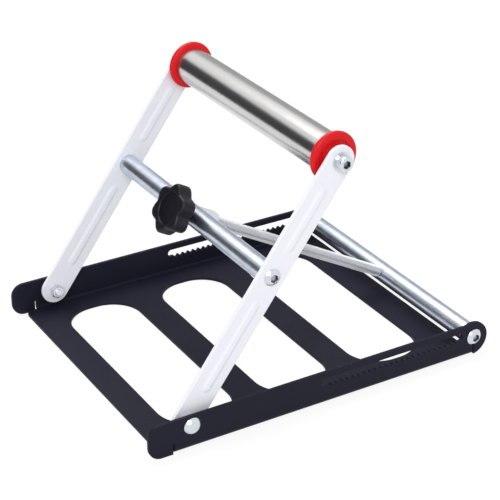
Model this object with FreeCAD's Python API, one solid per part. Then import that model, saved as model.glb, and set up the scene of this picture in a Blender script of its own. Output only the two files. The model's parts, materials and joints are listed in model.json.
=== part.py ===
import FreeCAD, Part
import math
import os
from FreeCAD import Placement, Rotation, Vector

os.makedirs("parts", exist_ok=True)

# Driving dimensions, in millimetres and degrees.
# X runs from the arm pivots at the front to the rear tube, and Y from the near flange to the far one.

# Base pressing
sheet = 2.5
base_width = 210.0
flange_length = 260.0
flange_height = 24.0
bend_outer_radius = 4.0
front_ear_radius = 9.0
front_ear_reach = 9.3
rear_ear_radius = 12.6
bend_front_inset = 18.0
bend_rear_inset = 11.5
relief_width = 1.0
plate_corner_radius = 4.0
cutout_width = 51.5
cutout_side_margin = 20.0
cutout_corner_radius = 23.0
least_flat = 1.0
cutout_pitch = 72.8
cutout_middle_offset = -1.85
cutout_count = 3
slot_rear_inset = 21.0
slot_length = 114.0
slot_height = 5.4
slot_middle_z = 16.8
tooth_pitch = 4.4
tooth_notch_radius = 1.5

# Arms, raised as they stand at rest
pivot_inset = 30.5
pivot_z = 16.7
arm_rest_angle = 54.0
arm_pivot_to_mid = 104.0
arm_pivot_to_roller = 186.4
arm_width = 20.0
arm_thickness = 3.0
arm_side_space = 4.0
bead_width = 8.0
bead_height = 0.8
bead_slope = 0.6
lower_bead_start = 20.0
lower_bead_end = 87.0
upper_bead_start = 121.5
upper_bead_end = 168.0

# Cross tubes and the screw between them
rear_inset = 11.3
rear_z = 14.1
tube_radius = 7.0
tube_wall = 1.5
plug_length = 16.0
screw_radius = 4.0
screw_journal_radius = 2.5
thrust_washer_thickness = 0.8
thrust_washer_radius = 4.8
weld_nut_length = 9.0
weld_nut_flats = 13.0

# Roller
roller_radius = 12.8
roller_wall = 1.2
cap_radius = 16.6
cap_flange = 4.5
cap_plug_length = 14.0
cap_side_space = 3.5
cap_rim_round = 1.0
cap_face_recess = 1.2
axle_radius = 5.0
axle_washer_thickness = 1.2
axle_washer_radius = 6.2
spacer_wall = 2.4

# Star knob
knob_radius = 17.5
knob_thickness = 11.0
knob_hub_radius = 8.5
knob_hub_length = 4.4
knob_lobes = 6
knob_scallop_radius = 5.0
knob_scallop_depth = 3.4
knob_edge_round = 2.0
knob_dish_radius = 11.8
knob_dish_depth = 2.5
insert_radius = 6.0
insert_length = 10.0

# Fasteners
bolt_radius = 3.0
button_head_radius = 5.75
button_head_height = 3.4
socket_flats = 4.0
socket_depth = 2.0
pivot_bolt_radius = 2.5
pivot_head_radius = 5.9
pivot_head_height = 3.6
pivot_nut_flats = 8.0
pivot_nut_height = 4.0
cap_screw_head_radius = 5.0
cap_screw_head_height = 5.4
cap_screw_socket_flats = 5.0
cap_screw_socket_depth = 3.0
cap_screw_reach = 16.0
lock_nut_flats = 8.0
lock_nut_height = 2.4
thread_end = 0.8
washer_thickness = 1.4

# Fits
running_gap = 0.05
side_gap = 0.3
hole_gap = 0.1

# Places that follow from the sizes above
half_width = base_width / 2
half_length = flange_length / 2
flange_inner = half_width - sheet
plate_front_x = -half_length + front_ear_reach
bend_front_x = -half_length + bend_front_inset
bend_rear_x = half_length - bend_rear_inset
bend_length = bend_rear_x - bend_front_x
slot_front_x = half_length - slot_rear_inset - slot_length
cutout_middle_x = (plate_front_x + bend_rear_x) / 2 + cutout_middle_offset
cutout_length = base_width - 2 * cutout_side_margin
arm_outer = flange_inner - arm_side_space
arm_inner = arm_outer - arm_thickness
arm_angle = math.radians(arm_rest_angle)
pivot = Vector(pivot_inset - half_length, 0, pivot_z)
rear = Vector(half_length - rear_inset, 0, rear_z)
arm_direction = Vector(math.cos(arm_angle), 0, math.sin(arm_angle))
mid = pivot + arm_direction * arm_pivot_to_mid
roller = pivot + arm_direction * arm_pivot_to_roller
screw_length = (mid - rear).Length
screw_direction = (mid - rear) / screw_length
mid_tube_end = arm_inner - washer_thickness - side_gap
rear_tube_end = flange_inner - side_gap
cap_outer = arm_inner - cap_side_space
along_y = Vector(0, 1, 0)
sides = (("near", -1), ("far", 1))


def rod(radius, start, end):
    """A round bar from one point to another."""
    span = end - start
    return Part.makeCylinder(radius, span.Length, start, span)


def cross_rod(radius, centre, y_start, y_end):
    """A round bar along Y through a point of the XZ plane."""
    return rod(radius, centre + along_y * y_start, centre + along_y * y_end)


def cross_ring(outer, inner, centre, y_start, y_end):
    """A washer or tube along Y."""
    ring = cross_rod(outer, centre, y_start, y_end)
    return ring.cut(cross_rod(inner, centre, y_start, y_end))


def hexagon(flats, start, end):
    """A six-sided bar between two points, with two corners level with its axis where it lies along X."""
    corner = flats / math.sqrt(3)
    points = []
    for index in range(6):
        turn = math.radians(60 * index)
        points.append(Vector(corner * math.sin(turn), corner * math.cos(turn), 0))
    face = Part.Face(Part.makePolygon(points + points[:1]))
    span = end - start
    bar = face.extrude(Vector(0, 0, span.Length))
    bar.Placement = Placement(start, Rotation(Vector(0, 0, 1), span))
    return bar


def hex_nut(flats, hole_radius, start, end):
    """A nut whose corners are rounded off at both faces."""
    span = end - start
    bevel = flats / math.sqrt(3) - flats / 2
    bar = hexagon(flats, start, end)
    profile = [
        Vector(0, 0, 0),
        Vector(flats / 2, 0, 0),
        Vector(flats / 2 + bevel, 0, bevel),
        Vector(flats / 2 + bevel, 0, span.Length - bevel),
        Vector(flats / 2, 0, span.Length),
        Vector(0, 0, span.Length),
    ]
    face = Part.Face(Part.makePolygon(profile + profile[:1]))
    turned = face.revolve(Vector(0, 0, 0), Vector(0, 0, 1), 360)
    turned.Placement = Placement(start, Rotation(Vector(0, 0, 1), span))
    return bar.common(turned).cut(rod(hole_radius, start, end))


def domed_head(radius, height, seat, outward):
    """A bolt head that is flat underneath and domed on top."""
    sphere_radius = (radius**2 + height**2) / (2 * height)
    centre = seat + outward * (height - sphere_radius)
    ball = Part.makeSphere(sphere_radius, centre)
    return ball.common(rod(radius, seat, seat + outward * height))


def rounded_box(x_start, x_end, y_start, y_end, z_start, z_end, radius):
    """A plate with its four upright edges rounded, which leaves at least a short flat on each side."""
    box = Part.makeBox(x_end - x_start, y_end - y_start, z_end - z_start, Vector(x_start, y_start, z_start))
    upright = [edge for edge in box.Edges if abs(edge.tangentAt(edge.FirstParameter).z) > 0.5]
    narrow_side = min(x_end - x_start, y_end - y_start)
    return box.makeFillet(min(radius, (narrow_side - least_flat) / 2), upright)


def rounded_bar(start_s, end_s, width, y_start, y_end):
    """A flat bar along X with full round ends, centred on the points at its two ends."""
    thickness = y_end - y_start
    middle = Part.makeBox(end_s - start_s, thickness, width, Vector(start_s, y_start, -width / 2))
    ends = []
    for place in (start_s, end_s):
        ends.append(Part.makeCylinder(width / 2, thickness, Vector(place, y_start, 0), along_y))
    return middle.multiFuse(ends).removeSplitter()


def on_arm(shape):
    """Moves a shape drawn along X from the pivot to the raised arm's place."""
    placed = shape.copy()
    placed.Placement = Placement(pivot, Rotation(Vector(0, 1, 0), -arm_rest_angle))
    return placed


def on_screw(distance):
    """A point on the screw's axis, measured from the rear tube's centre line towards the knob."""
    return rear + screw_direction * distance


def both_sides(make):
    """The near and far copies of a piece, as one group of separate solids."""
    return Part.makeCompound([make(side) for name, side in sides])


def save(name, shape):
    shape.exportStep(os.path.join("parts", name + ".step"))


def bent_floor():
    """The floor with its two bent-up edges, as one channel section."""

    def channel(width, bottom, top, radius):
        box = Part.makeBox(bend_length, width, top - bottom, Vector(bend_front_x, -width / 2, bottom))
        lower = []
        for edge in box.Edges:
            lengthwise = abs(edge.tangentAt(edge.FirstParameter).x) > 0.5
            if lengthwise and edge.CenterOfMass.z < bottom + sheet:
                lower.append(edge)
        return box.makeFillet(radius, lower)

    outside = channel(base_width, 0, flange_height, bend_outer_radius)
    inside = channel(base_width - 2 * sheet, sheet, 2 * flange_height, bend_outer_radius - sheet)
    return outside.cut(inside)


def flange_start(side):
    """The lower Y of one flange's sheet."""
    return flange_inner if side > 0 else -half_width


def flange_blank(side):
    """One upright flange with a rounded front end and a round rear ear, open below where the bend is."""
    y_start = flange_start(side)
    ear_x = half_length - rear_ear_radius
    blank = Part.makeBox(half_length + ear_x, sheet, flange_height, Vector(-half_length, y_start, 0))
    front = []
    for edge in blank.Edges:
        crosswise = abs(edge.tangentAt(edge.FirstParameter).y) > 0.5
        if crosswise and edge.CenterOfMass.x < 0:
            front.append(edge)
    blank = blank.makeFillet(front_ear_radius, front)
    ear = Part.makeCylinder(rear_ear_radius, sheet, Vector(ear_x, y_start, rear_ear_radius), along_y)
    relief_height = 2 * bend_outer_radius
    bend = Part.makeBox(bend_length, sheet, bend_outer_radius, Vector(bend_front_x, y_start, 0))
    notches = []
    for notch_x in (bend_front_x - relief_width, bend_rear_x):
        notches.append(Part.makeBox(relief_width, sheet, relief_height, Vector(notch_x, y_start, 0)))
    return blank.fuse(ear).cut(bend.multiFuse(notches))


def flange_slot(side):
    """The long slot in a flange, with a row of round notches along its lower edge."""
    y_start = flange_start(side)
    end_radius = slot_height / 2
    slot_ends = (slot_front_x + end_radius, slot_front_x + slot_length - end_radius)
    slot = rounded_bar(*slot_ends, slot_height, y_start, y_start + sheet)
    slot.translate(Vector(0, 0, slot_middle_z))
    lower_z = slot_middle_z - end_radius
    span = slot_length - slot_height
    notch_count = int(span / tooth_pitch)
    first_x = slot_front_x + end_radius + (span - (notch_count - 1) * tooth_pitch) / 2
    notches = []
    for index in range(notch_count):
        place = Vector(first_x + index * tooth_pitch, y_start, lower_z)
        notches.append(Part.makeCylinder(tooth_notch_radius, sheet, place, along_y))
    return slot.multiFuse(notches)


def base_plate():
    tongue_half = flange_inner - relief_width
    tongue_rear_x = bend_front_x + 2 * plate_corner_radius
    tongue = rounded_box(
        plate_front_x, tongue_rear_x, -tongue_half, tongue_half, 0, sheet, plate_corner_radius
    )
    blank = bent_floor().multiFuse([tongue] + [flange_blank(side) for name, side in sides])
    holes = []
    for index in range(cutout_count):
        middle_x = cutout_middle_x + (index - (cutout_count - 1) / 2) * cutout_pitch
        x_ends = (middle_x - cutout_width / 2, middle_x + cutout_width / 2)
        y_ends = (-cutout_length / 2, cutout_length / 2)
        holes.append(rounded_box(*x_ends, *y_ends, 0, sheet, cutout_corner_radius))
    for name, side in sides:
        holes.append(flange_slot(side))
    holes.append(cross_rod(pivot_bolt_radius + hole_gap, pivot, -base_width, base_width))
    holes.append(cross_rod(bolt_radius + hole_gap, rear, -base_width, base_width))
    return blank.cut(Part.makeCompound(holes)).removeSplitter()


def arm(y_start):
    """A pressed bar from the pivot to the roller, with two beads raised towards the near side."""
    bar = rounded_bar(0, arm_pivot_to_roller, arm_width, y_start, y_start + arm_thickness)
    for start_s, end_s in ((lower_bead_start, lower_bead_end), (upper_bead_start, upper_bead_end)):
        ends = (start_s + bead_width / 2, end_s - bead_width / 2)
        bead = rounded_bar(*ends, bead_width, y_start - bead_height, y_start)
        crown = [e for e in bead.Edges if abs(e.CenterOfMass.y - y_start + bead_height) < bead_height / 4]
        bead = bead.makeChamfer(bead_slope, crown)
        hollow_width = bead_width - 2 * bead_slope
        hollow_start = y_start + arm_thickness - bead_height
        hollow = rounded_bar(*ends, hollow_width, hollow_start, y_start + arm_thickness)
        bar = bar.fuse(bead).cut(hollow)
    holes = []
    for place, radius in (
        (0, pivot_bolt_radius + running_gap),
        (arm_pivot_to_mid, bolt_radius + hole_gap),
        (arm_pivot_to_roller, bolt_radius + hole_gap),
    ):
        holes.append(Part.makeCylinder(radius, arm_thickness, Vector(place, y_start, 0), along_y))
    return on_arm(bar.cut(Part.makeCompound(holes)).removeSplitter())


def pivot_bolt(side):
    """A domed bolt through the flange, a spacer and the arm."""
    outward = along_y * side
    seat = pivot + outward * half_width
    tip = pivot + outward * (arm_inner - side_gap - pivot_nut_height - thread_end)
    head = domed_head(pivot_head_radius, pivot_head_height, seat, outward)
    return head.fuse(rod(pivot_bolt_radius, tip, seat)).removeSplitter()


def pivot_nut(side):
    face = pivot + along_y * side * (arm_inner - side_gap)
    return hex_nut(pivot_nut_flats, pivot_bolt_radius, face - along_y * side * pivot_nut_height, face)


def pivot_spacer(side):
    inner = pivot_bolt_radius + hole_gap
    return cross_ring(inner + spacer_wall, inner, pivot, side * (arm_outer + side_gap), side * flange_inner)


def socket_bolt(centre, side, seat_y, tip_y):
    """A button-head bolt with a hexagon socket."""
    outward = along_y * side
    seat = centre + outward * seat_y
    top = seat + outward * button_head_height
    head = domed_head(button_head_radius, button_head_height, seat, outward)
    head = head.cut(hexagon(socket_flats, top - outward * socket_depth, top))
    return head.fuse(rod(bolt_radius, centre + outward * tip_y, seat)).removeSplitter()


def mid_bolt(side):
    return socket_bolt(mid, side, arm_outer, arm_inner - washer_thickness)


def rear_bolt(side):
    return socket_bolt(rear, side, half_width, rear_tube_end - plug_length)


def mid_washer(side):
    inner_y = arm_inner - washer_thickness
    return cross_ring(tube_radius, bolt_radius + hole_gap, mid, side * inner_y, side * arm_inner)


def cross_tube(centre, end_y, bore_radius):
    """A tube along Y with a hole across its middle for the screw."""
    tube = cross_ring(tube_radius, tube_radius - tube_wall, centre, -end_y, end_y)
    reach = screw_direction * tube_radius * 2
    return tube.cut(rod(bore_radius, centre - reach, centre + reach))


def tube_plug(centre, side, end_y, bore_radius):
    """The plug in a tube's end, with the hole for its bolt."""
    inner_y = end_y - plug_length
    return cross_ring(tube_radius - tube_wall, bore_radius, centre, side * inner_y, side * end_y)


def screw_nut():
    """The long nut welded to the mid tube, with its end shaped to the tube."""
    back = on_screw(screw_length - tube_radius - weld_nut_length)
    front = on_screw(screw_length - tube_radius / 2)
    nut = hexagon(weld_nut_flats, back, front)
    nut = nut.cut(rod(screw_radius + running_gap, back, front))
    return nut.cut(cross_rod(tube_radius, mid, -weld_nut_flats, weld_nut_flats))


screw_shoulder = tube_radius + side_gap
screw_front = screw_length + tube_radius + 2 * side_gap
insert_front = screw_front + insert_length
lock_nut_front = -tube_radius - side_gap - thrust_washer_thickness
journal_end = lock_nut_front - lock_nut_height - thread_end


def lead_screw():
    """The screw, turned down at the rear where it turns in the rear tube."""
    shank = rod(screw_radius, on_screw(screw_shoulder), on_screw(insert_front))
    journal = rod(screw_journal_radius, on_screw(journal_end), on_screw(screw_shoulder))
    return shank.fuse(journal).removeSplitter()


def thrust_washer():
    front = on_screw(-tube_radius - side_gap)
    back = on_screw(lock_nut_front)
    return rod(thrust_washer_radius, back, front).cut(rod(screw_journal_radius, back, front))


def screw_lock_nut():
    back = on_screw(lock_nut_front - lock_nut_height)
    return hex_nut(lock_nut_flats, screw_journal_radius, back, on_screw(lock_nut_front))


def star_knob():
    """A star knob turned with rounded edges and then scalloped, on a plain hub."""
    back = knob_hub_length
    face = back + knob_thickness
    rim = knob_radius - knob_edge_round
    bulge = knob_edge_round * math.sqrt(0.5)
    corners = [
        Vector(0, 0, 0),
        Vector(knob_hub_radius, 0, 0),
        Vector(knob_hub_radius, 0, back),
        Vector(rim, 0, back),
        Vector(knob_radius, 0, back + knob_edge_round),
        Vector(knob_radius, 0, face - knob_edge_round),
        Vector(rim, 0, face),
        Vector(0, 0, face),
    ]
    low_middle = Vector(rim + bulge, 0, back + knob_edge_round - bulge)
    high_middle = Vector(rim + bulge, 0, face - knob_edge_round + bulge)
    outline = [
        Part.makePolygon(corners[:4]),
        Part.Arc(corners[3], low_middle, corners[4]).toShape(),
        Part.makeLine(corners[4], corners[5]),
        Part.Arc(corners[5], high_middle, corners[6]).toShape(),
        Part.makePolygon(corners[6:] + corners[:1]),
    ]
    knob = Part.Face(Part.Wire(outline)).revolve(Vector(0, 0, 0), Vector(0, 0, 1), 360)
    scallop_place = knob_radius + knob_scallop_radius - knob_scallop_depth
    for index in range(knob_lobes):
        angle = 2 * math.pi * (index + 0.5) / knob_lobes
        place = Vector(scallop_place * math.cos(angle), scallop_place * math.sin(angle), back)
        knob = knob.cut(Part.makeCylinder(knob_scallop_radius, knob_thickness, place))
    dish = Part.makeCylinder(knob_dish_radius, knob_dish_depth, Vector(0, 0, face - knob_dish_depth))
    socket = Part.makeCylinder(insert_radius, insert_length)
    knob = knob.cut(dish).cut(socket)
    knob.Placement = Placement(on_screw(screw_front), Rotation(Vector(0, 0, 1), screw_direction))
    return knob


def knob_insert():
    back = on_screw(screw_front)
    front = on_screw(insert_front)
    return rod(insert_radius, back, front).cut(rod(screw_radius, back, front))


def roller_cap(side):
    """A flanged end cap that plugs into the roller tube and turns on the axle."""
    outer_y = side * cap_outer
    flange_y = side * (cap_outer - cap_flange)
    plug_y = side * (cap_outer - cap_flange - cap_plug_length)
    flange = cross_rod(cap_radius, roller, flange_y, outer_y)
    flange = flange.makeFillet(cap_rim_round, [e for e in flange.Edges if e.Length > cap_radius * 2])
    plug = cross_rod(roller_radius - roller_wall, roller, plug_y, flange_y)
    recess_outer = roller_radius - roller_wall
    recess_inner = axle_radius + spacer_wall + cap_face_recess
    recess_y = side * (cap_outer - cap_face_recess)
    recess = cross_ring(recess_outer, recess_inner, roller, recess_y, outer_y)
    bore = cross_rod(axle_radius + running_gap, roller, plug_y, outer_y)
    return flange.fuse(plug).cut(recess).cut(bore).removeSplitter()


def roller_tube():
    end_y = cap_outer - cap_flange
    return cross_ring(roller_radius, roller_radius - roller_wall, roller, -end_y, end_y)


def roller_axle():
    """The fixed axle between the arms, with a threaded hole in each end."""
    axle = cross_rod(axle_radius, roller, -arm_inner, arm_inner)
    for name, side in sides:
        hole_y = side * (arm_outer + axle_washer_thickness - cap_screw_reach)
        axle = axle.cut(cross_rod(bolt_radius, roller, hole_y, side * arm_inner))
    return axle


def axle_spacer(side):
    inner_y = side * (cap_outer + side_gap)
    return cross_ring(axle_radius + spacer_wall, axle_radius, roller, inner_y, side * arm_inner)


def axle_washer(side):
    outer_y = side * (arm_outer + axle_washer_thickness)
    return cross_ring(axle_washer_radius, bolt_radius, roller, side * arm_outer, outer_y)


def axle_screw(side):
    """A cap screw with a round head and a hexagon socket, from the arm into the axle."""
    outward = along_y * side
    seat = roller + outward * (arm_outer + axle_washer_thickness)
    top = seat + outward * cap_screw_head_height
    head = rod(cap_screw_head_radius, seat, top)
    head = head.cut(hexagon(cap_screw_socket_flats, top - outward * cap_screw_socket_depth, top))
    return head.fuse(rod(bolt_radius, seat - outward * cap_screw_reach, seat)).removeSplitter()


save("base_plate", base_plate())
save("near_arm", arm(-arm_outer))
save("far_arm", arm(arm_inner))
save("pivot_bolts", both_sides(pivot_bolt))
save("pivot_nuts", both_sides(pivot_nut))
save("pivot_spacers", both_sides(pivot_spacer))
save("mid_bolts", both_sides(mid_bolt))
save("mid_washers", both_sides(mid_washer))
save("rear_bolts", both_sides(rear_bolt))
save("mid_tube", cross_tube(mid, mid_tube_end, screw_radius + running_gap))
save("rear_tube", cross_tube(rear, rear_tube_end, screw_journal_radius + running_gap))
for side_name, side_sign in sides:
    save(side_name + "_mid_plug", tube_plug(mid, side_sign, mid_tube_end, bolt_radius))
    save(side_name + "_rear_plug", tube_plug(rear, side_sign, rear_tube_end, bolt_radius + running_gap))
    save(side_name + "_roller_cap", roller_cap(side_sign))
save("screw_nut", screw_nut())
save("lead_screw", lead_screw())
save("thrust_washer", thrust_washer())
save("screw_lock_nut", screw_lock_nut())
save("star_knob", star_knob())
save("knob_insert", knob_insert())
save("roller_tube", roller_tube())
save("roller_axle", roller_axle())
save("axle_spacers", both_sides(axle_spacer))
save("axle_washers", both_sides(axle_washer))
save("axle_screws", both_sides(axle_screw))
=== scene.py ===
import json
import math

import bmesh
import bpy
from mathutils import Matrix, Vector


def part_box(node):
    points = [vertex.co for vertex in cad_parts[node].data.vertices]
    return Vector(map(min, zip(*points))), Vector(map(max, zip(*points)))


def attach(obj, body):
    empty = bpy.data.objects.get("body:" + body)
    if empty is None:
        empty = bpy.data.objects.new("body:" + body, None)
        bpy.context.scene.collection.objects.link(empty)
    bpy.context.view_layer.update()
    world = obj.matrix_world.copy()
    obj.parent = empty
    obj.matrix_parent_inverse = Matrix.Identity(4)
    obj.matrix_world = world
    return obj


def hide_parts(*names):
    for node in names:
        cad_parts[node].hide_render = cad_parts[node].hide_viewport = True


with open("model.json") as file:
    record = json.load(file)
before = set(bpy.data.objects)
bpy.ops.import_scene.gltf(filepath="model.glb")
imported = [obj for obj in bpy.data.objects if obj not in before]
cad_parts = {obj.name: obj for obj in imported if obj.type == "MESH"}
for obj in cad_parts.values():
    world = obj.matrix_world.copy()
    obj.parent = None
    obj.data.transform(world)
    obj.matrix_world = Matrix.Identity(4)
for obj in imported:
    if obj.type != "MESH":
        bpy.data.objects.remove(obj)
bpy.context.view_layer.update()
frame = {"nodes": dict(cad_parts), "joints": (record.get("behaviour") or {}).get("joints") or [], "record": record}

# Camera, in metres and degrees, at the photograph's viewing angle
CAMERA_AZIMUTH = -30.8
CAMERA_ELEVATION = 27.7
CAMERA_DISTANCE = 1.1215
CAMERA_SHIFT_RIGHT = 0.0038
CAMERA_SHIFT_UP = 0.0576
CAMERA_LENS = 115.5
SENSOR_WIDTH = 36.0

# Studio, in metres and watts
FLOOR_SIZE = 6.0
FLOOR_COLOUR = (0.8, 0.8, 0.8)
FLOOR_SHOWN = (0.2, 0.2, 0.2)
FLOOR_GLOW = (0.83, 0.83, 0.83)
WORLD_FILL = 0.55
LOOK_AT = Vector((0.0, 0.0, 0.08))
LAMPS = (
    ("front_soft_box", (-1.0, -1.6, 1.5), 1.2, 25.0),
    ("top_soft_box", (0.1, 0.7, 1.7), 1.2, 16.0),
)
CARD_ROUGHNESS = 0.9
CARDS = (
    ("dark_left_card", (-0.75, 0.85, 0.38), 1.6, 0.76, (0.035, 0.035, 0.04)),
    ("grey_right_card", (0.75, 1.05, 0.45), 1.1, 0.9, (0.42, 0.42, 0.43)),
)

# Places and directions read from the frame
record = frame["record"]
joints = {joint["name"]: joint for joint in frame["joints"]}
PIVOT = Vector(joints["arm_swing"]["pos_m"])
ROLLER = Vector(joints["roller_spin"]["pos_m"])
REAR = Vector(joints["strut_swing"]["pos_m"])
MID = (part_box("mid_tube")[0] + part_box("mid_tube")[1]) / 2
SCREW_WAY = Vector(joints["knob_turn"]["axis"]).normalized()
ARM_WAY = (ROLLER - PIVOT).normalized()
ALONG_X = Vector((1.0, 0.0, 0.0))
ALONG_Y = Vector((0.0, 1.0, 0.0))
ALONG_Z = Vector((0.0, 0.0, 1.0))
NEAR = -ALONG_Y
PAIRS = (
    "pivot_bolts",
    "pivot_nuts",
    "pivot_spacers",
    "mid_bolts",
    "mid_washers",
    "rear_bolts",
    "axle_spacers",
    "axle_washers",
    "axle_screws",
)
body_of = {node: body for body, nodes in record["behaviour"]["bodies"].items() for node in nodes}
slot_of = {subpart["node"]: subpart["material_slot"] for subpart in record["subparts"]}

# Detail of the finishes, and the painted shade of hollows in metres
PATCH_DETAIL = 4.0
PEEL_DETAIL = 2.0
CLOUD_DETAIL = 5.0
LINE_DETAIL = 3.0
HOLLOW_REACH = 0.004
HOLLOW_POWER = 2.0
# black of the painted shade in hollows
HOLLOW_SHADE_COLOUR = (0.0, 0.0, 0.0, 1.0)

# Modelling steps
TURNED_STEPS = 64
FILLET_STEPS = 4
EDGE_SEGMENTS = 2
MERGE = 1e-6
FACING_UP = 0.9
SMOOTH_ANGLE = math.radians(35)
FLAT_ANGLE = math.radians(1)
CUT_ANGLE = math.radians(40)

# Sizes of the pieces' details, in metres and degrees
SHEET_EDGE = 0.0003
ARM_EDGE = 0.0006
BEAD_SPANS = ((0.020, 0.087), (0.1215, 0.168))
BEAD_WIDTH = 0.008
BEAD_HEIGHT = 0.0008
BEAD_SLOPE = 0.0032
BEAD_SINK = 0.000008
BEAD_INSET = 0.0004
ROLLER_WALL = 0.0012
TUBE_WALL = 0.0015
TUBE_EDGE = 0.0004
CAP_RIM = 0.0021
CAP_FLANGE = 0.0045
CAP_RECESS = 0.0012
SMALL_EDGE = 0.0002
RUNNING_GAP = 0.00005
BOLT_RADIUS = 0.003
PIVOT_BOLT_RADIUS = 0.0025
BOLT_POINT = 0.0005
HEAD_RIM = 0.0004
SOCKET_FLATS = 0.005
SOCKET_DEPTH = 0.002
CAP_SOCKET_FLATS = 0.005
CAP_SCREW_EDGE = 0.0006
NUT_FLATS = 0.008
NUT_CHAMFER = math.radians(30)
WELD_NUT_FLATS = 0.013
JOURNAL_RADIUS = 0.0025
SHOULDER_GAP = 0.0003
THREAD_PITCH = 0.00125
THREAD_DEPTH = 0.0007
THREAD_STEPS = 20
ROOT_FLAT = 0.25
CREST_FLAT = 0.125
KNOB_LOBES = 6
KNOB_LOBE_STEPS = 16
KNOB_SCALLOP = 0.0034
KNOB_LOBE_POWER = 0.85
KNOB_EDGE = 0.002
KNOB_HUB_RADIUS = 0.0085
KNOB_HUB_LENGTH = 0.0044
KNOB_DISH_RADIUS = 0.0118
INSERT_RECESS = 0.0012
KNOB_DISH_DEPTH = 0.0025
KNOB_DISH_LIP = 0.0005


# Modelling tools


def only(piece):
    """Makes a piece the one that the next operator works on."""
    if bpy.context.object and bpy.context.object.mode != "OBJECT":
        bpy.ops.object.mode_set(mode="OBJECT")
    bpy.ops.object.select_all(action="DESELECT")
    piece.select_set(True)
    bpy.context.view_layer.objects.active = piece


def started(name):
    """The primitive that was just added, under its piece's name."""
    piece = bpy.context.object
    piece.name = name
    return piece


def choose(piece, kind, wanted):
    """Selects those vertices, edges or faces of a piece in edit mode that a test picks."""
    bpy.ops.mesh.select_mode(type=kind)
    bpy.ops.mesh.select_all(action="DESELECT")
    mesh = bmesh.from_edit_mesh(piece.data)
    parts = {"VERT": mesh.verts, "EDGE": mesh.edges, "FACE": mesh.faces}[kind]
    for part in parts:
        if wanted(part):
            part.select_set(True)
    bmesh.update_edit_mesh(piece.data)


def closed(piece):
    """Merges doubles, turns the faces outwards and leaves edit mode."""
    bpy.ops.mesh.select_all(action="SELECT")
    bpy.ops.mesh.remove_doubles(threshold=MERGE)
    bpy.ops.mesh.normals_make_consistent(inside=False)
    bpy.ops.object.mode_set(mode="OBJECT")
    return piece


def placed(piece, matrix):
    """Puts a modelled piece in its place, with the place in its mesh."""
    only(piece)
    piece.matrix_world = matrix @ piece.matrix_world
    bpy.ops.object.transform_apply(location=True, rotation=True, scale=True)
    return piece


def copied(piece, name, matrix):
    """A second piece with its own mesh, moved to its own place."""
    other = bpy.data.objects.new(name, piece.data.copy())
    bpy.context.scene.collection.objects.link(other)
    return placed(other, matrix)


def both_sides(piece, name, centre, near_node, far_node):
    """Settles a near piece and its copy on the far side, turned half round about a centre."""
    there = Matrix.Translation(centre)
    half_turn = there @ Matrix.Rotation(math.pi, 4, "Z") @ there.inverted()
    other = copied(piece, "far_" + name, half_turn)
    piece.name = "near_" + name
    settled(piece, near_node)
    settled(other, far_node)


def standing(seat, way):
    """The place of a piece modelled along Z that stands on a seat along a direction."""
    right = ALONG_X if abs(way.y) > 0.5 else ALONG_Y.cross(way)
    turn = Matrix((right, way.cross(right), way)).transposed().to_4x4()
    return Matrix.Translation(seat) @ turn


def finished_by(piece, kind, **settings):
    """Adds a modifier with its settings and applies it."""
    only(piece)
    modifier = piece.modifiers.new(kind.lower(), kind)
    for name, value in settings.items():
        setattr(modifier, name, value)
    bpy.ops.object.modifier_apply(modifier=modifier.name)
    return piece


def carved(piece, tool, operation="DIFFERENCE"):
    """Cuts a tool out of a piece, adds it, or keeps what the two share, and removes the tool."""
    finished_by(piece, "BOOLEAN", operation=operation, solver="EXACT", object=tool)
    bpy.data.objects.remove(tool, do_unlink=True)
    bpy.ops.object.mode_set(mode="EDIT")
    return closed(piece)


def shaded(piece):
    """Smooth round faces with crisp edges, and flat faces that stay flat."""
    only(piece)
    bpy.ops.object.shade_smooth_by_angle(angle=SMOOTH_ANGLE)
    return finished_by(piece, "WEIGHTED_NORMAL", keep_sharp=True)


def settled(piece, node):
    """Lets a finished piece stand for its CAD node, on the node's body and in the node's finish."""
    shaded(piece)
    piece.data.materials.clear()
    piece.data.materials.append(finishes[slot_of[node]])
    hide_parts(node)
    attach(piece, body_of[node])
    return piece


def rounded_outline(corners):
    """The points of an outline of (radius, height, rounding) corners, with arcs at the rounded ones."""
    places = [Vector((radius, 0.0, height)) for radius, height, rounding in corners]
    points = []
    for index, (radius, height, rounding) in enumerate(corners):
        corner = places[index]
        if rounding == 0.0:
            points.append(corner)
            continue
        back = (places[index - 1] - corner).normalized()
        ahead = (places[index + 1] - corner).normalized()
        half_angle = back.angle(ahead) / 2
        middle = corner + (back + ahead).normalized() * rounding / math.sin(half_angle)
        start = (corner + back * rounding / math.tan(half_angle) - middle).normalized()
        end = (corner + ahead * rounding / math.tan(half_angle) - middle).normalized()
        for step in range(FILLET_STEPS + 1):
            points.append(middle + start.slerp(end, step / FILLET_STEPS) * rounding)
    return points


def drawn(name, points):
    """A line of edges in edit mode: a plane merged to one point, pulled from place to place."""
    bpy.ops.object.select_all(action="DESELECT")
    bpy.ops.mesh.primitive_plane_add(size=MERGE)
    piece = started(name)
    bpy.ops.object.mode_set(mode="EDIT")
    bpy.ops.mesh.select_mode(type="VERT")
    bpy.ops.mesh.select_all(action="SELECT")
    bpy.ops.mesh.merge(type="CENTER")
    bpy.ops.transform.translate(value=points[0])
    for start, end in zip(points, points[1:]):
        bpy.ops.mesh.extrude_vertices_move(TRANSFORM_OT_translate={"value": end - start})
    bpy.ops.mesh.select_all(action="SELECT")
    return piece


def turned(name, corners, seat, way):
    """A piece turned about its axis, from an outline of (radius, height, rounding) corners."""
    piece = drawn(name, rounded_outline(corners))
    bpy.ops.mesh.spin(steps=TURNED_STEPS, angle=2 * math.pi, center=(0, 0, 0), axis=(0, 0, 1))
    return placed(closed(piece), standing(seat, way))


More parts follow.
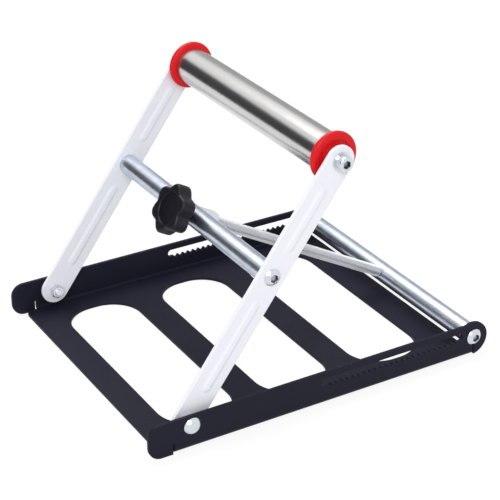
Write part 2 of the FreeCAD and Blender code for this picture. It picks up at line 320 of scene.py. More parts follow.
def ring_corners(outer, inner, length, edge):
    """The outline of a washer or a tube."""
    return [
        (inner, 0.0, 0.0),
        (outer, 0.0, edge),
        (outer, length, edge),
        (inner, length, 0.0),
        (inner, 0.0, 0.0),
    ]


def dome_corners(radius, base, height):
    """The outline of a domed head, from its rim to the top of its axis."""
    ball = (radius**2 + height**2) / (2 * height)
    spread = math.asin(radius / ball)
    corners = []
    for step in range(2 * FILLET_STEPS + 1):
        angle = spread * (1 - step / (2 * FILLET_STEPS))
        corners.append((ball * math.sin(angle), base + height - ball + ball * math.cos(angle), 0.0))
    return corners


def rounded_plate(name, low, high, radius):
    """A plate between two corners, with its four upright edges rounded."""
    bpy.ops.object.select_all(action="DESELECT")
    bpy.ops.mesh.primitive_cube_add(size=1.0)
    piece = started(name)
    size = high - low
    placed(piece, Matrix.Translation((low + high) / 2) @ Matrix.Diagonal((*size, 1.0)))
    bpy.ops.object.mode_set(mode="EDIT")
    choose(piece, "EDGE", lambda edge: abs(edge.verts[0].co.z - edge.verts[1].co.z) > size.z / 2)
    bpy.ops.mesh.bevel(offset=radius, segments=4 * FILLET_STEPS, profile=0.5, affect="EDGES")
    return closed(piece)


def hex_bar(name, flats, seat, way, length):
    """A six-sided bar that stands on a seat."""
    bpy.ops.object.select_all(action="DESELECT")
    bpy.ops.mesh.primitive_cylinder_add(vertices=6, radius=flats / math.sqrt(3), depth=length)
    piece = started(name)
    return placed(piece, standing(seat + way * length / 2, way))


def drilled(piece, seat, way, radius, length):
    """Cuts a round hole from a seat along a direction."""
    drill = turned("drill", [(0, 0, 0), (radius, 0, 0), (radius, length, 0), (0, length, 0)], seat, way)
    return carved(piece, drill)


def girth(node, centre, way):
    """A node's largest radius about an axis."""
    radius = 0.0
    for vertex in frame["nodes"][node].data.vertices:
        arm_out = vertex.co - centre
        radius = max(radius, (arm_out - way * arm_out.dot(way)).length)
    return radius


def reach(node, centre, way):
    """Where a node starts and ends along a direction from a centre; of a pair, the one on that side."""
    spans = [(vertex.co - centre).dot(way) for vertex in frame["nodes"][node].data.vertices]
    if node in PAIRS:
        spans = [span for span in spans if span > 0.0]
    return min(spans), max(spans)


# Finishes


def node_group(name, inputs, outputs):
    """A shader node group with named sockets; returns the group and its two end nodes."""
    group = bpy.data.node_groups.new(name, "ShaderNodeTree")
    for label, kind, value in inputs:
        socket = group.interface.new_socket(label, in_out="INPUT", socket_type="NodeSocket" + kind)
        socket.default_value = value
    for label, kind in outputs:
        group.interface.new_socket(label, in_out="OUTPUT", socket_type="NodeSocket" + kind)
    return group, group.nodes.new("NodeGroupInput"), group.nodes.new("NodeGroupOutput")


def add(tree, kind, inputs=None, **settings):
    """A new node with its settings and its inputs, which are values or the outputs of other nodes."""
    node = tree.nodes.new(kind)
    for name, value in settings.items():
        setattr(node, name, value)
    for name, value in (inputs or {}).items():
        if isinstance(value, bpy.types.NodeSocket):
            tree.links.new(value, node.inputs[name])
        else:
            node.inputs[name].default_value = value
    return node


def noise(tree, place, scale, detail):
    """A noise value over a place vector."""
    inputs = {"Vector": place, "Scale": scale, "Detail": detail}
    return add(tree, "ShaderNodeTexNoise", inputs).outputs["Fac"]


def around(tree, middle, spread, value):
    """A value that swings about a middle with a 0 to 1 pattern."""
    swing = add(tree, "ShaderNodeMath", {0: value, 1: 0.5}, operation="SUBTRACT")
    inputs = {0: swing.outputs[0], 1: spread, 2: middle}
    return add(tree, "ShaderNodeMath", inputs, operation="MULTIPLY_ADD").outputs[0]


def blended(tree, share, first, second):
    """Two colours mixed by a share, each a value or the output of a node."""
    mix = add(tree, "ShaderNodeMix", {0: share, 6: first, 7: second}, data_type="RGBA")
    return mix.outputs[2]


def coat_skin_group():
    """Powder coat or moulded plastic: soft patches of shade and a fine orange-peel relief."""
    group, start, end = node_group(
        "coat_skin",
        [
            ("Colour", "Color", (0.5, 0.5, 0.5, 1.0)),
            ("Shade", "Color", (0.4, 0.4, 0.4, 1.0)),
            ("Patch Scale", "Float", 20.0),
            ("Peel Scale", "Float", 900.0),
            ("Roughness", "Float", 0.5),
            ("Roughness Spread", "Float", 0.1),
        ],
        [("Color", "Color"), ("Roughness", "Float"), ("Height", "Float")],
    )
    place = add(group, "ShaderNodeTexCoord").outputs["Object"]
    patches = noise(group, place, start.outputs["Patch Scale"], PATCH_DETAIL)
    peel = noise(group, place, start.outputs["Peel Scale"], PEEL_DETAIL)
    colour = blended(group, patches, start.outputs["Colour"], start.outputs["Shade"])
    roughness = around(group, start.outputs["Roughness"], start.outputs["Roughness Spread"], patches)
    group.links.new(colour, end.inputs["Color"])
    group.links.new(roughness, end.inputs["Roughness"])
    group.links.new(peel, end.inputs["Height"])
    return group


def plate_skin_group():
    """Bright metal: clouds of tint and fine lines, which run where the stretch is small."""
    group, start, end = node_group(
        "plate_skin",
        [
            ("Colour", "Color", (0.7, 0.7, 0.7, 1.0)),
            ("Tint", "Color", (0.6, 0.6, 0.7, 1.0)),
            ("Cloud Scale", "Float", 60.0),
            ("Line Stretch", "Vector", (1.0, 1.0, 1.0)),
            ("Line Scale", "Float", 2000.0),
            ("Roughness", "Float", 0.3),
            ("Roughness Spread", "Float", 0.1),
        ],
        [("Color", "Color"), ("Roughness", "Float"), ("Height", "Float")],
    )
    place = add(group, "ShaderNodeTexCoord").outputs["Object"]
    clouds = noise(group, place, start.outputs["Cloud Scale"], CLOUD_DETAIL)
    stretched = add(
        group,
        "ShaderNodeVectorMath",
        {0: place, 1: start.outputs["Line Stretch"]},
        operation="MULTIPLY",
    )
    lines = noise(group, stretched.outputs[0], start.outputs["Line Scale"], LINE_DETAIL)
    colour = blended(group, clouds, start.outputs["Colour"], start.outputs["Tint"])
    roughness = around(group, start.outputs["Roughness"], start.outputs["Roughness Spread"], lines)
    group.links.new(colour, end.inputs["Color"])
    group.links.new(roughness, end.inputs["Roughness"])
    group.links.new(lines, end.inputs["Height"])
    return group


def painted_hollow_shade(tree, colour):
    """Paints shade into a colour, which turns dark in deep hollows, such as a socket."""
    hollow = add(tree, "ShaderNodeAmbientOcclusion", {"Distance": HOLLOW_REACH}, only_local=True)
    open_share = add(tree, "ShaderNodeMath", {0: hollow.outputs["AO"], 1: HOLLOW_POWER}, operation="POWER")
    return blended(tree, open_share.outputs[0], HOLLOW_SHADE_COLOUR, colour)


def finish(name, group, values, relief, metallic=0.0, specular=0.5, hollows=False):
    """A material that wears a skin group, with a relief of the given height in metres, and painted shade in its
    hollows where asked.
    """
    made = bpy.data.materials.new(name)
    made.use_nodes = True
    tree = made.node_tree
    shader = tree.nodes["Principled BSDF"]
    skin = add(tree, "ShaderNodeGroup", node_tree=group)
    for label, value in values.items():
        skin.inputs[label].default_value = value
    bump = add(tree, "ShaderNodeBump", {"Height": skin.outputs["Height"], "Distance": relief})
    colour = skin.outputs["Color"]
    # painted shade: ambient occlusion darkens the colour towards black in hollows
    if hollows:
        colour = painted_hollow_shade(tree, colour)
    tree.links.new(colour, shader.inputs["Base Color"])
    tree.links.new(skin.outputs["Roughness"], shader.inputs["Roughness"])
    tree.links.new(bump.outputs["Normal"], shader.inputs["Normal"])
    shader.inputs["Metallic"].default_value = metallic
    shader.inputs["Specular IOR Level"].default_value = specular
    return made


def make_finishes():
    """The finish of each material slot."""
    coat = coat_skin_group()
    plate = plate_skin_group()
    return {
        "base_coat": finish(
            "black_powder_coat",
            coat,
            {
                "Colour": (0.0112, 0.0113, 0.0225, 1.0),
                "Shade": (0.0148, 0.015, 0.0285, 1.0),
                "Patch Scale": 25.0,
                "Peel Scale": 1100.0,
                "Roughness": 0.5,
                "Roughness Spread": 0.12,
            },
            relief=0.00008,
            specular=0.1,
        ),
        "arm_coat": finish(
            "white_powder_coat",
            coat,
            {
                "Colour": (0.86, 0.87, 0.925, 1.0),
                "Shade": (0.83, 0.84, 0.9, 1.0),
                "Patch Scale": 18.0,
                "Peel Scale": 900.0,
                "Roughness": 0.42,
                "Roughness Spread": 0.1,
            },
            relief=0.00006,
        ),
        "zinc": finish(
            "bright_zinc",
            plate,
            {
                "Colour": (0.72, 0.74, 0.78, 1.0),
                "Tint": (0.6, 0.64, 0.71, 1.0),
                "Cloud Scale": 180.0,
                "Line Stretch": (1.0, 1.0, 1.0),
                "Line Scale": 2500.0,
                "Roughness": 0.2,
                "Roughness Spread": 0.12,
            },
            relief=0.00002,
            metallic=1.0,
            # painted shade in the sockets and hollows of the bolts and nuts
            hollows=True,
        ),
        "zinc_tube": finish(
            "drawn_zinc_tube",
            plate,
            {
                "Colour": (0.76, 0.815, 0.9, 1.0),
                "Tint": (0.45, 0.5, 0.6, 1.0),
                "Cloud Scale": 140.0,
                "Line Stretch": (1.0, 0.03, 1.0),
                "Line Scale": 2200.0,
                "Roughness": 0.31,
                "Roughness Spread": 0.2,
            },
            relief=0.00003,
            metallic=1.0,
        ),
        "screw_steel": finish(
            "zinc_screw",
            plate,
            {
                "Colour": (0.7, 0.71, 0.73, 1.0),
                "Tint": (0.58, 0.6, 0.64, 1.0),
                "Cloud Scale": 120.0,
                "Line Stretch": (1.0, 1.0, 1.0),
                "Line Scale": 2500.0,
                "Roughness": 0.3,
                "Roughness Spread": 0.12,
            },
            relief=0.00002,
            metallic=1.0,
        ),
        "roller_steel": finish(
            "ground_stainless",
            plate,
            {
                "Colour": (0.66, 0.65, 0.64, 1.0),
                "Tint": (0.58, 0.575, 0.57, 1.0),
                "Cloud Scale": 30.0,
                "Line Stretch": (0.05, 1.0, 0.05),
                "Line Scale": 3000.0,
                "Roughness": 0.22,
                "Roughness Spread": 0.12,
            },
            relief=0.00002,
            metallic=1.0,
        ),
        "red_plastic": finish(
            "red_moulding",
            coat,
            {
                "Colour": (0.72, 0.008, 0.014, 1.0),
                "Shade": (0.64, 0.005, 0.010, 1.0),
                "Patch Scale": 70.0,
                "Peel Scale": 1500.0,
                "Roughness": 0.34,
                "Roughness Spread": 0.1,
            },
            relief=0.00003,
            specular=0.22,
        ),
        "knob_plastic": finish(
            "black_moulding",
            coat,
            {
                "Colour": (0.0036, 0.0034, 0.0074, 1.0),
                "Shade": (0.0054, 0.0052, 0.01, 1.0),
                "Patch Scale": 90.0,
                "Peel Scale": 2000.0,
                "Roughness": 0.38,
                "Roughness Spread": 0.1,
            },
            relief=0.00005,
            specular=0.3,
        ),
        "brass": finish(
            "turned_brass",
            plate,
            {
                "Colour": (0.78, 0.58, 0.25, 1.0),
                "Tint": (0.7, 0.5, 0.2, 1.0),
                "Cloud Scale": 150.0,
                "Line Stretch": (1.0, 1.0, 1.0),
                "Line Scale": 3000.0,
                "Roughness": 0.3,
                "Roughness Spread": 0.1,
            },
            relief=0.00002,
            metallic=1.0,
        ),
    }


# Pieces


def base_plate():
    """The pressed base, with its cut edges softened as powder coat leaves them."""
    piece = bpy.data.objects.new("pressed_base", frame["nodes"]["base_plate"].data.copy())
    bpy.context.scene.collection.objects.link(piece)
    only(piece)
    bpy.ops.object.mode_set(mode="EDIT")
    bpy.ops.mesh.select_all(action="SELECT")
    bpy.ops.mesh.remove_doubles(threshold=MERGE)
    bpy.ops.mesh.dissolve_limited(angle_limit=FLAT_ANGLE)

    def softened(edge):
        if edge.calc_face_angle() < CUT_ANGLE:
            return False
        neighbours = [other for corner in edge.verts for other in corner.link_edges]
        return min(other.calc_length() for other in neighbours) > SHEET_EDGE

    choose(piece, "EDGE", softened)
    bpy.ops.transform.edge_bevelweight(value=1.0)
    bpy.ops.object.mode_set(mode="OBJECT")
    finished_by(
        piece,
        "BEVEL",
        width=SHEET_EDGE,
        segments=EDGE_SEGMENTS,
        limit_method="WEIGHT",
        use_clamp_overlap=False,
    )
    settled(piece, "base_plate")


def bead_steps(height, inward):
    """The steps of a bead's side: a soft foot, a slope and a soft crown, as half a cosine wave."""
    count = 2 * FILLET_STEPS
    heights = [height * (1 - math.cos(math.pi * step / count)) / 2 for step in range(count + 1)]
    return [(inward / count, after - before) for before, after in zip(heights, heights[1:])]


def pressed_bead(name, start, end, width, face, height):
    """A long bead with rounded ends, modelled along X, that swells up from a face."""
    sunk = BEAD_SINK
    low = Vector((start, -width / 2, face - ARM_EDGE))
    piece = rounded_plate(name, low, Vector((end, width / 2, face - sunk)), width / 2)
    only(piece)
    bpy.ops.object.mode_set(mode="EDIT")
    choose(piece, "FACE", lambda part: part.normal.z > FACING_UP)
    for inward, upward in bead_steps(height + sunk, BEAD_SLOPE):
        bpy.ops.mesh.inset(thickness=inward, depth=upward)
    return closed(piece)


def arms():
    """Flat bars with round ends, two pressed beads and three bolt holes, modelled along X on the back."""
    length = (ROLLER - PIVOT).length
    low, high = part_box("near_arm")
    thickness = high.y - low.y - BEAD_HEIGHT
    half_width = PIVOT.z - low.z
    corner = Vector((length + half_width, half_width, thickness))
    bar = rounded_plate("near_pressed_arm", Vector((-half_width, -half_width, 0.0)), corner, half_width)
    only(bar)
    bpy.ops.object.mode_set(mode="EDIT")
    choose(bar, "EDGE", lambda edge: abs(edge.verts[0].co.z - edge.verts[1].co.z) < thickness / 2)
    bpy.ops.mesh.bevel(offset=ARM_EDGE, segments=EDGE_SEGMENTS, profile=0.5, affect="EDGES")
    closed(bar)
    for start, end in BEAD_SPANS:
        bead = pressed_bead("bead", start, end, BEAD_WIDTH, thickness, BEAD_HEIGHT)
        carved(bar, bead, "UNION")
        inner = (start + BEAD_INSET, end - BEAD_INSET)
        carved(bar, pressed_bead("hollow", *inner, BEAD_WIDTH - 2 * BEAD_INSET, 0.0, BEAD_HEIGHT))
    holes = ((0.0, PIVOT_BOLT_RADIUS), ((MID - PIVOT).length, BOLT_RADIUS), (length, BOLT_RADIUS))
    for place, radius in holes:
        drilled(bar, Vector((place, 0.0, -thickness)), ALONG_Z, radius + RUNNING_GAP, 3 * thickness)
    across = -ALONG_Y.cross(ARM_WAY)
    turn = Matrix((ARM_WAY, across, -ALONG_Y)).transposed().to_4x4()
    back = Vector((0.0, high.y, 0.0))
    placed(bar, Matrix.Translation(PIVOT + back) @ turn)
    other = copied(bar, "far_pressed_arm", Matrix.Translation(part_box("far_arm")[0] - low))
    settled(bar, "near_arm")
    settled(other, "far_arm")


def roller_shell():
    """The ground steel tube between the caps."""
    start, end = reach("roller_tube", ROLLER, ALONG_Y)
    outer = girth("roller_tube", ROLLER, ALONG_Y)
    corners = ring_corners(outer, outer - ROLLER_WALL, end - start, TUBE_EDGE)
    settled(turned("roller_shell", corners, ROLLER + ALONG_Y * start, ALONG_Y), "roller_tube")


def roller_caps():
    """Flanged caps with a fat rounded rim, a plug inside the tube and a shallow ring in the face."""
    start, end = reach("near_roller_cap", ROLLER, NEAR)
    length = end - start
    shoulder = length - CAP_FLANGE
    rim = girth("near_roller_cap", ROLLER, NEAR)
    plug = girth("roller_tube", ROLLER, NEAR) - ROLLER_WALL
    bore = girth("roller_axle", ROLLER, NEAR) + RUNNING_GAP
    ring_wall = girth("axle_spacers", ROLLER, NEAR) + CAP_RECESS
    corners = [
        (bore, 0.0, 0.0),
        (plug, 0.0, TUBE_EDGE),
        (plug, shoulder, 0.0),
        (rim, shoulder, CAP_RIM),
        (rim, length, CAP_RIM),
        (plug, length, SMALL_EDGE),
        (plug, length - CAP_RECESS, SMALL_EDGE),
        (ring_wall, length - CAP_RECESS, SMALL_EDGE),
        (ring_wall, length, SMALL_EDGE),
        (bore, length, 0.0),
        (bore, 0.0, 0.0),
    ]
    cap = turned("cap", corners, ROLLER + NEAR * start, NEAR)
    both_sides(cap, "red_cap", ROLLER, "near_roller_cap", "far_roller_cap")


def cross_tube(node, name, centre, hole):
    """A plated tube along Y with the screw's hole across its middle."""
    start, end = reach(node, centre, ALONG_Y)
    outer = girth(node, centre, ALONG_Y)
    corners = ring_corners(outer, outer - TUBE_WALL, end - start, TUBE_EDGE)
    tube = turned(name, corners, centre + ALONG_Y * start, ALONG_Y)
    drilled(tube, centre - SCREW_WAY * 2 * outer, SCREW_WAY, hole, 4 * outer)
    settled(tube, node)


def ring(node, name, centre, way, inner, recess=0.0):
    """A washer, spacer or sleeve about an axis, which may sit back a little at its start."""
    start, end = reach(node, centre, way)
    start += recess
    corners = ring_corners(girth(node, centre, way), inner, end - start, SMALL_EDGE)
    return turned(name, corners, centre + way * start, way)


def bolt(node, name, centre, seat, shank, flats, domed):
    """A turned bolt on its near seat, with a domed or a flat head and a hexagon socket where it has one."""
    tip, top = reach(node, centre, NEAR)
    head = girth(node, centre, NEAR)
    corners = [(0.0, 0.0, 0.0), (shank, 0.0, BOLT_POINT), (shank, seat - tip, 0.0), (head, seat - tip, 0.0)]
    if domed:
        corners += dome_corners(head, seat + HEAD_RIM - tip, top - seat - HEAD_RIM)
    else:
        corners += [(head, top - tip, CAP_SCREW_EDGE), (0.0, top - tip, 0.0)]
    piece = turned(name, corners, centre + NEAR * tip, NEAR)
    if flats:
        hollow_seat = centre + NEAR * (top - SOCKET_DEPTH)
        carved(piece, hex_bar("socket", flats, hollow_seat, NEAR, 2 * SOCKET_DEPTH))
    return piece


def nut_blank(name, flats, seat, way, length, both_ends):
    """A six-sided nut whose corners are chamfered at one end or both."""
    corner = flats / math.sqrt(3)
    slope = (corner - flats / 2) * math.tan(NUT_CHAMFER)
    wide = corner + SMALL_EDGE
    face = flats / 2 - SMALL_EDGE
    outline = [(0.0, 0.0, 0.0), (face, 0.0, 0.0), (wide, slope, 0.0)]
    if both_ends:
        outline += [(wide, length - slope, 0.0), (face, length, 0.0), (0.0, length, 0.0)]
    else:
        outline += [(wide, length + slope, 0.0), (0.0, length + slope, 0.0)]
    blank = hex_bar(name, flats, seat, way, length)
    return carved(blank, turned("crown", outline, seat, way), "INTERSECT")


def nut(node, name, centre, way, flats, bore):
    """A plain nut on its bolt."""
    start, end = reach(node, centre, way)
    length = end - start
    piece = nut_blank(name, flats, centre + way * start, way, length, True)
    return drilled(piece, centre + way * (start - length), way, bore, 3 * length)


def weld_nut():
    """The long nut behind the mid tube, with its end shaped to the tube."""
    outer = girth("mid_tube", MID, ALONG_Y)
    start, end = reach("screw_nut", MID, SCREW_WAY)
    length = -outer / 2 - start
    piece = nut_blank("screw_weld_nut", WELD_NUT_FLATS, MID + SCREW_WAY * start, SCREW_WAY, length, False)
    drilled(piece, MID - ALONG_Y * 2 * outer, ALONG_Y, outer, 4 * outer)
    bore = girth("lead_screw", REAR, SCREW_WAY) + RUNNING_GAP
    drilled(piece, MID + SCREW_WAY * 2 * start, SCREW_WAY, bore, -4 * start)
    settled(piece, "screw_nut")


def lead_screw():
    """The threaded screw, one turn of its thread wound up along its length, and its plain journal."""
    start, end = reach("lead_screw", REAR, SCREW_WAY)
    shoulder = girth("rear_tube", REAR, ALONG_Y) + SHOULDER_GAP
    turns = math.floor((end - shoulder) / THREAD_PITCH)
    crest = girth("lead_screw", REAR, SCREW_WAY)
    root = crest - THREAD_DEPTH
    slope = (1 - ROOT_FLAT - CREST_FLAT) / 2
    rise = ROOT_FLAT + slope
    tooth = ((root, 0.0), (root, ROOT_FLAT), (crest, rise), (crest, rise + CREST_FLAT), (root, 1.0))
    points = [Vector((radius, 0.0, THREAD_PITCH * (share - 1.0))) for radius, share in tooth]
    piece = drawn("threaded_screw", points)
    finished_by(
        piece,
        "SCREW",
        axis="Z",
        angle=2 * math.pi,
        screw_offset=THREAD_PITCH,
        iterations=turns + 2,
        steps=THREAD_STEPS,
        render_steps=THREAD_STEPS,
        use_merge_vertices=True,
        merge_threshold=MERGE,
    )
    bpy.ops.object.mode_set(mode="EDIT")
    for height, inner in ((0.0, True), (turns * THREAD_PITCH, False)):
        bpy.ops.mesh.select_all(action="SELECT")
        bpy.ops.mesh.bisect(
            plane_co=(0.0, 0.0, height),
            plane_no=(0.0, 0.0, 1.0),
            use_fill=True,
            clear_inner=inner,
            clear_outer=not inner,
        )
    placed(closed(piece), standing(REAR + SCREW_WAY * shoulder, SCREW_WAY))
    outline = [(0.0, 0.0, 0.0), (JOURNAL_RADIUS, 0.0, BOLT_POINT)]
    root_end = shoulder - start + THREAD_PITCH
    outline += [(JOURNAL_RADIUS, root_end, 0.0), (0.0, root_end, 0.0)]
    journal = turned("journal", outline, REAR + SCREW_WAY * start, SCREW_WAY)
    settled(carved(piece, journal, "UNION"), "lead_screw")


def lobe_share(index):
    """How much of the knob's tip radius a point of its outline has, by its place in a lobe."""
    swell = (1 + math.cos(2 * math.pi * index / KNOB_LOBE_STEPS)) / 2
    return swell**KNOB_LOBE_POWER


def pulled_ring(rise, factor):
    """Extrudes the selected ring upwards and widens or narrows it about the axis."""
    bpy.ops.mesh.extrude_edges_move(TRANSFORM_OT_translate={"value": (0.0, 0.0, rise)})
    bpy.ops.transform.resize(value=(factor, factor, 1.0), center_override=(0.0, 0.0, 0.0))


def bridged_circle(piece, radius, height):
    """Adds a circle inside the open ring at a height, bridges the two and leaves the circle selected."""
    count = KNOB_LOBES * KNOB_LOBE_STEPS
    bpy.ops.mesh.primitive_circle_add(vertices=count, radius=radius, location=(0.0, 0.0, height))

    def open_there(edge):
        return len(edge.link_faces) < 2 and abs(edge.verts[0].co.z - height) < MERGE

    choose(piece, "EDGE", open_there)
    bpy.ops.mesh.bridge_edge_loops()
    limit = radius + SMALL_EDGE
    choose(piece, "EDGE", lambda edge: open_there(edge) and edge.verts[0].co.xy.length < limit)


def star_knob():
    """A moulded knob with six lobes, a round dish in its face and a hub at its back."""
    start, end = reach("star_knob", REAR, SCREW_WAY)
    tip = girth("star_knob", REAR, SCREW_WAY)
    bore = girth("knob_insert", REAR, SCREW_WAY)
    insert_start, insert_end = reach("knob_insert", REAR, SCREW_WAY)
    back = KNOB_HUB_LENGTH
    face = end - start
    count = KNOB_LOBES * KNOB_LOBE_STEPS
    bpy.ops.object.select_all(action="DESELECT")
    bpy.ops.mesh.primitive_circle_add(vertices=count, radius=tip, location=(0.0, 0.0, back))
    piece = started("moulded_star_knob")
    bpy.ops.object.transform_apply(location=True, rotation=True, scale=True)
    bpy.ops.object.mode_set(mode="EDIT")
    lobe_angle = 2 * math.pi / KNOB_LOBES
    for index in range(KNOB_LOBE_STEPS):
        place = lobe_angle * index / KNOB_LOBE_STEPS

        def in_step(vertex):
            angle = math.atan2(vertex.co.y, vertex.co.x) % lobe_angle
            gap = abs(angle - place)
            return min(gap, lobe_angle - gap) < lobe_angle / KNOB_LOBE_STEPS / 4

        choose(piece, "VERT", in_step)
        factor = 1 - KNOB_SCALLOP / tip * (1 - lobe_share(index))
        bpy.ops.transform.resize(value=(factor, factor, 1.0), center_override=(0.0, 0.0, 0.0))
    bpy.ops.mesh.select_mode(type="EDGE")
    bpy.ops.mesh.select_all(action="SELECT")
    rings = []
    for step in range(FILLET_STEPS + 1):
        angle = math.pi / 2 * step / FILLET_STEPS
        share = 1 - KNOB_EDGE / tip * (1 - math.sin(angle))
        rings.append((share, back + KNOB_EDGE * (1 - math.cos(angle))))
    for share, height in reversed(rings[:]):
        rings.append((share, back + face - height))
    first_share, height_now = rings[0]
    bpy.ops.transform.resize(value=(first_share, first_share, 1.0), center_override=(0.0, 0.0, 0.0))
    share_now = first_share
    for share, height in rings[1:]:
        pulled_ring(height - height_now, share / share_now)
        share_now = share
        height_now = height
    bridged_circle(piece, KNOB_DISH_RADIUS, face)
    dish = KNOB_DISH_RADIUS
    radius_now = dish
    for radius, drop in (
        (dish - KNOB_DISH_LIP / 2, KNOB_DISH_LIP / 4),
        (dish - KNOB_DISH_LIP, KNOB_DISH_DEPTH / 2),
        (dish - 2 * KNOB_DISH_LIP, KNOB_DISH_DEPTH / 4),
        (dish / 2, SMALL_EDGE),
    ):
        pulled_ring(-drop, radius / radius_now)
        radius_now = radius
    bpy.ops.mesh.edge_face_add()
    bridged_circle(piece, KNOB_HUB_RADIUS, back)
    pulled_ring(SMALL_EDGE - back, 1.0)
    pulled_ring(-SMALL_EDGE, 1 - SMALL_EDGE / KNOB_HUB_RADIUS)
    pulled_ring(0.0, bore / (KNOB_HUB_RADIUS - SMALL_EDGE))
    pulled_ring(insert_end - insert_start, 1.0)
    bpy.ops.mesh.edge_face_add()
    settled(placed(closed(piece), standing(REAR + SCREW_WAY * start, SCREW_WAY)), "star_knob")


# Camera and studio


def camera():
    azimuth = math.radians(CAMERA_AZIMUTH)
    elevation = math.radians(CAMERA_ELEVATION)
    back = Vector((
        math.sin(azimuth) * math.cos(elevation),
        -math.cos(azimuth) * math.cos(elevation),
        math.sin(elevation),
    ))
    right = Vector((math.cos(azimuth), math.sin(azimuth), 0.0))
    up = back.cross(right)
    place = right * CAMERA_SHIFT_RIGHT + up * CAMERA_SHIFT_UP + back * CAMERA_DISTANCE
    data = bpy.data.cameras.new("camera")
    data.lens = CAMERA_LENS
    data.sensor_width = SENSOR_WIDTH
    rig = bpy.data.objects.new("camera", data)
    turn = Matrix((right, up, back)).transposed().to_4x4()
    rig.matrix_world = Matrix.Translation(place) @ turn
    bpy.context.scene.collection.objects.link(rig)
    bpy.context.scene.camera = rig


def seen_directly(tree):
    """1 for rays from the camera, reflections and transmission, and 0 for light that spreads."""
    path = add(tree, "ShaderNodeLightPath").outputs
    seen = path["Is Camera Ray"]
    for ray in ("Is Glossy Ray", "Is Transmission Ray"):
        seen = add(tree, "ShaderNodeMath", {0: seen, 1: path[ray]}, operation="MAXIMUM").outputs[0]
    return seen


def studio_floor():
    """A white floor that keeps a soft shadow."""
    bpy.ops.object.select_all(action="DESELECT")
    bpy.ops.mesh.primitive_plane_add(size=FLOOR_SIZE)
    floor = started("floor")
    paint = bpy.data.materials.new("floor_paint")
    paint.use_nodes = True
    tree = paint.node_tree
    tree.nodes.clear()
    plain = add(tree, "ShaderNodeBsdfDiffuse", {"Color": (*FLOOR_COLOUR, 1.0)})
    shown = add(tree, "ShaderNodeBsdfDiffuse", {"Color": (*FLOOR_SHOWN, 1.0)})
    glow = add(tree, "ShaderNodeEmission", {"Color": (*FLOOR_GLOW, 1.0), "Strength": 1.0})
    white = add(tree, "ShaderNodeAddShader", {0: shown.outputs[0], 1: glow.outputs[0]})
    mix = add(
        tree,
        "ShaderNodeMixShader",
        {0: seen_directly(tree), 1: plain.outputs[0], 2: white.outputs[0]},
    )
    add(tree, "ShaderNodeOutputMaterial", {"Surface": mix.outputs[0]})
    floor.data.materials.append(paint)


def studio_world():
    """White all round to the eye, and a plain fill light on the object."""
    world = bpy.data.worlds.new("studio")
    bpy.context.scene.world = world
    world.use_nodes = True
    tree = world.node_tree
    tree.nodes.clear()
    strength = add(
        tree,
        "ShaderNodeMapRange",
        {"Value": seen_directly(tree), "To Min": WORLD_FILL, "To Max": 1.0},
    )
    white = (1.0, 1.0, 1.0, 1.0)
    sky = add(tree, "ShaderNodeBackground", {"Color": white, "Strength": strength.outputs[0]})
    add(tree, "ShaderNodeOutputWorld", {"Surface": sky.outputs[0]})


def soft_box(name, place, size, power):
    """A square lamp that looks at the object."""
    data = bpy.data.lights.new(name, "AREA")
    data.shape = "SQUARE"
    data.size = size
    data.energy = power
    lamp = bpy.data.objects.new(name, data)
    turn = (place - LOOK_AT).to_track_quat("Z", "Y").to_matrix().to_4x4()
    lamp.matrix_world = Matrix.Translation(place) @ turn
    bpy.context.scene.collection.objects.link(lamp)


def card(name, place, width, height, colour):
    """A dark or grey card outside the picture, which the bright metal mirrors."""
    bpy.ops.object.select_all(action="DESELECT")
    bpy.ops.mesh.primitive_plane_add(size=1.0)
    board = started(name)
    facing = LOOK_AT - place
    facing.z = 0.0
    turn = facing.to_track_quat("Z", "Y").to_matrix().to_4x4()
    placed(board, Matrix.Translation(place) @ turn @ Matrix.Diagonal((width, height, 1.0, 1.0)))
    paint = bpy.data.materials.new(name + "_paint")
    paint.use_nodes = True
    shader = paint.node_tree.nodes["Principled BSDF"]
    shader.inputs["Base Color"].default_value = (*colour, 1.0)
    shader.inputs["Roughness"].default_value = CARD_ROUGHNESS
    board.data.materials.append(paint)
    board.visible_camera = False
    board.visible_shadow = False
    board.visible_diffuse = False


camera()
studio_floor()
studio_world()
for lamp_name, lamp_place, lamp_size, lamp_power in LAMPS:
    soft_box(lamp_name, Vector(lamp_place), lamp_size, lamp_power)
for card_name, card_place, card_width, card_height, card_colour in CARDS:
    card(card_name, Vector(card_place), card_width, card_height, card_colour)

finishes = make_finishes()
for node, slot in slot_of.items():
    frame["nodes"][node].data.materials.clear()
    frame["nodes"][node].data.materials.append(finishes[slot])

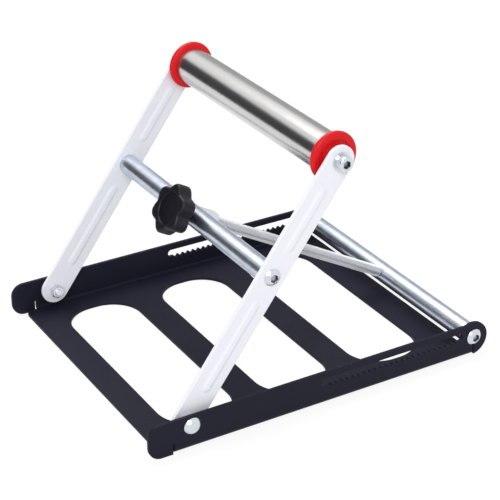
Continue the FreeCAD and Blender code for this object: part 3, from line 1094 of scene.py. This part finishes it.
base_plate()
arms()
roller_shell()
roller_caps()
cross_tube("mid_tube", "mid_plated_tube", MID, girth("lead_screw", REAR, SCREW_WAY) + RUNNING_GAP)
cross_tube("rear_tube", "rear_plated_tube", REAR, JOURNAL_RADIUS + RUNNING_GAP)
weld_nut()
lead_screw()
star_knob()
crest = girth("lead_screw", REAR, SCREW_WAY)
insert = ring("knob_insert", "brass_insert", REAR, SCREW_WAY, crest, INSERT_RECESS)
settled(insert, "knob_insert")
settled(ring("thrust_washer", "screw_thrust_washer", REAR, SCREW_WAY, JOURNAL_RADIUS), "thrust_washer")
thin_nut = nut("screw_lock_nut", "screw_thin_nut", REAR, SCREW_WAY, NUT_FLATS, JOURNAL_RADIUS)
settled(thin_nut, "screw_lock_nut")

# Pieces in pairs, each modelled on the near side
for node, name, centre, inner in (
    ("axle_spacers", "axle_spacer", ROLLER, girth("roller_axle", ROLLER, NEAR)),
    ("axle_washers", "axle_washer", ROLLER, BOLT_RADIUS),
    ("pivot_spacers", "pivot_spacer", PIVOT, PIVOT_BOLT_RADIUS + 2 * RUNNING_GAP),
    ("mid_washers", "mid_washer", MID, BOLT_RADIUS + 2 * RUNNING_GAP),
):
    both_sides(ring(node, name, centre, NEAR, inner), name, centre, node, node)
arm_face = reach("near_arm", PIVOT, NEAR)[1] - BEAD_HEIGHT
flange_face = reach("base_plate", PIVOT, NEAR)[1]
washer_face = reach("axle_washers", ROLLER, NEAR)[1]
for node, name, centre, seat, shank, flats, domed in (
    ("pivot_bolts", "pivot_bolt", PIVOT, flange_face, PIVOT_BOLT_RADIUS, 0.0, True),
    ("mid_bolts", "mid_bolt", MID, arm_face, BOLT_RADIUS, SOCKET_FLATS, True),
    ("rear_bolts", "rear_bolt", REAR, flange_face, BOLT_RADIUS, SOCKET_FLATS, True),
    ("axle_screws", "axle_screw", ROLLER, washer_face, BOLT_RADIUS, CAP_SOCKET_FLATS, False),
):
    both_sides(bolt(node, name, centre, seat, shank, flats, domed), name, centre, node, node)
pivot_nut = nut("pivot_nuts", "pivot_nut", PIVOT, NEAR, NUT_FLATS, PIVOT_BOLT_RADIUS)
both_sides(pivot_nut, "pivot_nut", PIVOT, "pivot_nuts", "pivot_nuts")

bpy.context.scene.view_settings.view_transform = "Standard"
